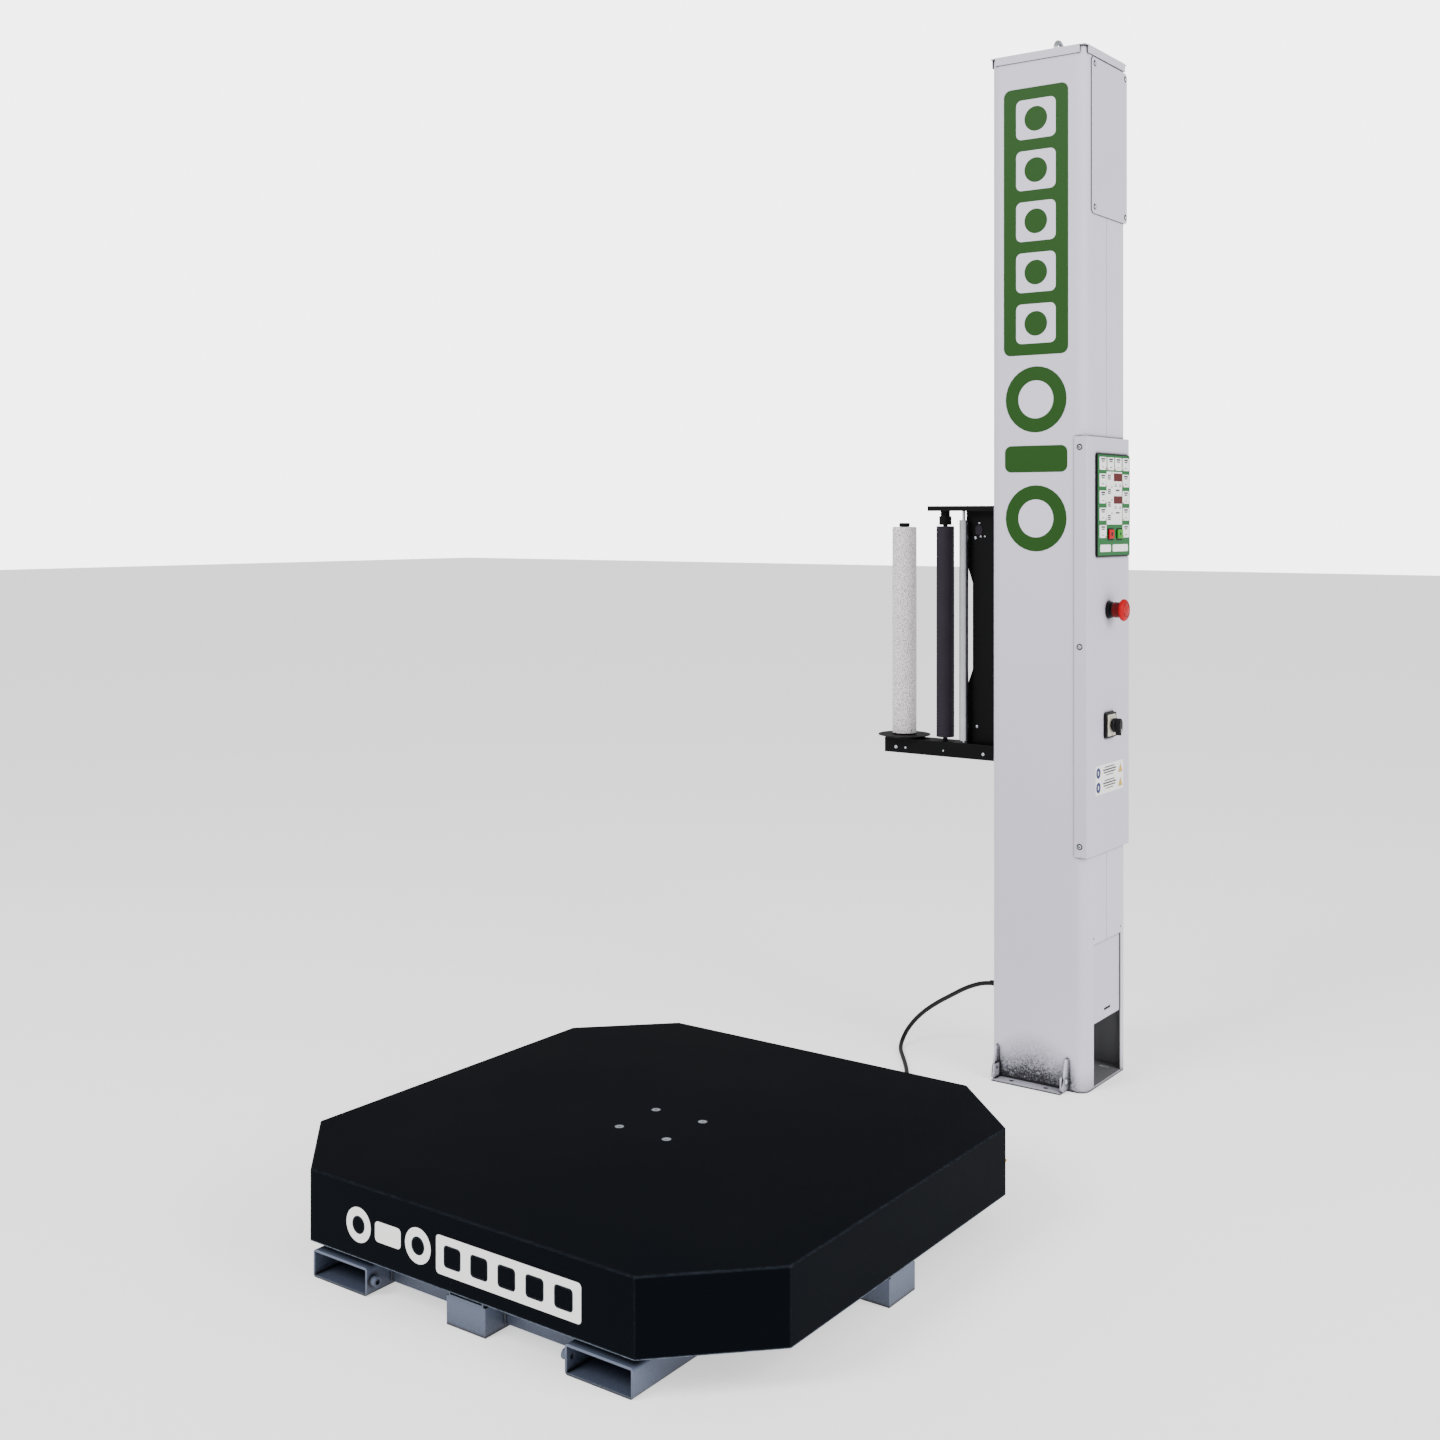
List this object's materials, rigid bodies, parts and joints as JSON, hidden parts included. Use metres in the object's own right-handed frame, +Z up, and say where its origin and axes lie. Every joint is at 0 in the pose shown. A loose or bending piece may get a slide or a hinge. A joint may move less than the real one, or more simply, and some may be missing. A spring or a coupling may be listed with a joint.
{
  "type": "turntable pallet wrapper",
  "caption": "Free-standing mast with a lifting film carriage and a low octagonal powered turntable on fork tubes, joined by a loose cable.",
  "frame": {"origin": "centre of the whole object's base on the floor", "axes": "+X along the turntable's graphic side towards the mast's control side, +Y from the turntable to the mast, +Z up"},
  "size_m": [1.1, 1.98, 2.5545],
  "materials": {
    "deck_black": "near-black satin powder coat",
    "frame_grey": "blue-grey paint",
    "steel": "machined bright steel",
    "zinc": "zinc-plated fasteners",
    "nylon": "natural nylon",
    "drive_blue": "gearmotor enamel",
    "chain_steel": "oiled chain steel",
    "mast_grey": "light violet-grey fine-texture powder coat",
    "galvanised": "zinc-plated sheet",
    "carriage_black": "black powder coat",
    "mandrel_grey": "light speckled coating",
    "rubber_dark": "dark rubber roller covering",
    "roller_alu": "bright aluminium",
    "black_plastic": "black moulded plastic",
    "keypad_green": "green membrane keypad",
    "stop_red": "red plastic",
    "start_green": "green plastic",
    "switch_cream": "cream plastic",
    "cable_black": "black cable jacket"
  },
  "bodies": {
    "frame": {"fork_tube_left": "frame_grey", "fork_tube_right": "frame_grey", "base_beams": "frame_grey", "support_feet": "frame_grey", "pivot_spindle": "steel", "pivot_bearing": "steel", "wheel_forks": "frame_grey", "wheel_axles": "steel", "table_gearmotor": "drive_blue", "drive_chain": "chain_steel", "column_front": "mast_grey", "column_rear": "mast_grey", "foot_closer": "mast_grey", "mast_base_plate": "galvanised", "service_plate": "mast_grey", "top_cap": "mast_grey", "lifting_eye": "zinc", "floor_bracket": "mast_grey", "upper_cover": "mast_grey", "control_cover": "mast_grey", "mast_screws": "zinc", "control_box": "galvanised", "keypad": "keypad_green", "estop_collar": "black_plastic", "switch_plate": "black_plastic", "guide_rails": "steel", "lift_gearmotor": "drive_blue", "idler_axle": "steel", "lift_chain": "chain_steel", "mast_cable_glands": "black_plastic", "table_cable_gland": "black_plastic", "connection_cable": "cable_black"},
    "table": {"deck": "deck_black", "hub_flange": "steel", "deck_bolts": "zinc", "table_chain_ring": "steel"},
    "support_wheel_1": {"support_wheel_1": "nylon"},
    "support_wheel_2": {"support_wheel_2": "nylon"},
    "support_wheel_3": {"support_wheel_3": "nylon"},
    "support_wheel_4": {"support_wheel_4": "nylon"},
    "drive_sprocket": {"drive_sprocket": "steel"},
    "carriage": {"trolley": "carriage_black", "slide_shoes": "nylon", "carriage_back": "carriage_black", "carriage_arm": "carriage_black", "carriage_top": "carriage_black", "mandrel_spindle": "carriage_black", "brake_hub": "carriage_black", "carriage_screws": "zinc"},
    "mandrel": {"mandrel_tube": "mandrel_grey", "mandrel_disc": "carriage_black"},
    "brake_roller": {"brake_roller": "rubber_dark"},
    "idle_roller": {"idle_roller": "roller_alu"},
    "top_sprocket": {"top_sprocket": "steel"},
    "bottom_sprocket": {"bottom_sprocket": "steel"},
    "stop_button": {"stop_button": "stop_red"},
    "start_button": {"start_button": "start_green"},
    "estop_stem": {"estop_stem": "stop_red"},
    "estop_head": {"estop_head": "stop_red"},
    "switch_knob": {"switch_knob": "black_plastic"}
  },
  "joints": [
    {"name": "table_spin", "type": "hinge", "parent": "frame", "child": "table", "pos_m": [0, -0.44, 0], "axis": [0, 0, 1], "continuous": true},
    {"name": "support_wheel_1_spin", "type": "hinge", "parent": "frame", "child": "support_wheel_1", "pos_m": [0.3, -0.14, 0.1507], "axis": [0.7071, 0.7071, 0], "continuous": true},
    {"name": "support_wheel_2_spin", "type": "hinge", "parent": "frame", "child": "support_wheel_2", "pos_m": [-0.3, -0.14, 0.1507], "axis": [-0.7071, 0.7071, 0], "continuous": true},
    {"name": "support_wheel_3_spin", "type": "hinge", "parent": "frame", "child": "support_wheel_3", "pos_m": [-0.3, -0.74, 0.1507], "axis": [-0.7071, -0.7071, 0], "continuous": true},
    {"name": "support_wheel_4_spin", "type": "hinge", "parent": "frame", "child": "support_wheel_4", "pos_m": [0.3, -0.74, 0.1507], "axis": [0.7071, -0.7071, 0], "continuous": true},
    {"name": "drive_sprocket_spin", "type": "hinge", "parent": "frame", "child": "drive_sprocket", "pos_m": [-0.14, -0.2, 0.175], "axis": [0, 0, 1], "continuous": true},
    {"name": "carriage_lift", "type": "slide", "parent": "frame", "child": "carriage", "axis": [0, 0, 1], "range_m": [-0.5, 0.95]},
    {"name": "top_sprocket_spin", "type": "hinge", "parent": "frame", "child": "top_sprocket", "pos_m": [0.177, 0.86, 2.39], "axis": [0, 1, 0], "range_deg": [-819.51, 1556.17]},
    {"name": "bottom_sprocket_spin", "type": "hinge", "parent": "frame", "child": "bottom_sprocket", "pos_m": [0.177, 0.86, 0.27], "axis": [0, 1, 0], "range_deg": [-819.51, 1556.17]},
    {"name": "mandrel_spin", "type": "hinge", "parent": "carriage", "child": "mandrel", "pos_m": [-0.201, 0.86, 0.8], "axis": [0, 0, 1], "continuous": true},
    {"name": "brake_roller_spin", "type": "hinge", "parent": "carriage", "child": "brake_roller", "pos_m": [-0.08, 0.86, 0.8], "axis": [0, 0, 1], "continuous": true},
    {"name": "idle_roller_spin", "type": "hinge", "parent": "carriage", "child": "idle_roller", "pos_m": [-0.018, 0.844, 0.8], "axis": [0, 0, 1], "continuous": true},
    {"name": "stop_press", "type": "slide", "parent": "frame", "child": "stop_button", "axis": [-1, 0, 0], "range_m": [0, 0.0015], "stiffness_N_per_m": 800, "springref_m": -0.002},
    {"name": "start_press", "type": "slide", "parent": "frame", "child": "start_button", "axis": [-1, 0, 0], "range_m": [0, 0.0015], "stiffness_N_per_m": 800, "springref_m": -0.002},
    {"name": "estop_press", "type": "slide", "parent": "frame", "child": "estop_stem", "axis": [-1, 0, 0], "range_m": [0, 0.006], "stiffness_N_per_m": 800, "springref_m": -0.004},
    {"name": "estop_twist", "type": "hinge", "parent": "estop_stem", "child": "estop_head", "pos_m": [0.368, 0.86, 1.148], "axis": [1, 0, 0], "range_deg": [-45, 0], "stiffness_Nm_per_rad": 0.2, "springref_deg": 5.73},
    {"name": "main_switch_turn", "type": "hinge", "parent": "frame", "child": "switch_knob", "pos_m": [0.368, 0.86, 0.868], "axis": [1, 0, 0], "range_deg": [0, 90]}
  ],
  "couplings": [
    {"joint": "support_wheel_1_spin", "follows": "table_spin", "ratio": -10.607},
    {"joint": "support_wheel_2_spin", "follows": "table_spin", "ratio": -10.607},
    {"joint": "support_wheel_3_spin", "follows": "table_spin", "ratio": -10.607},
    {"joint": "support_wheel_4_spin", "follows": "table_spin", "ratio": -10.607},
    {"joint": "drive_sprocket_spin", "follows": "table_spin", "ratio": 3.3333},
    {"joint": "top_sprocket_spin", "follows": "carriage_lift", "rad_per_m": 28.571},
    {"joint": "bottom_sprocket_spin", "follows": "carriage_lift", "rad_per_m": 28.571}
  ]
}
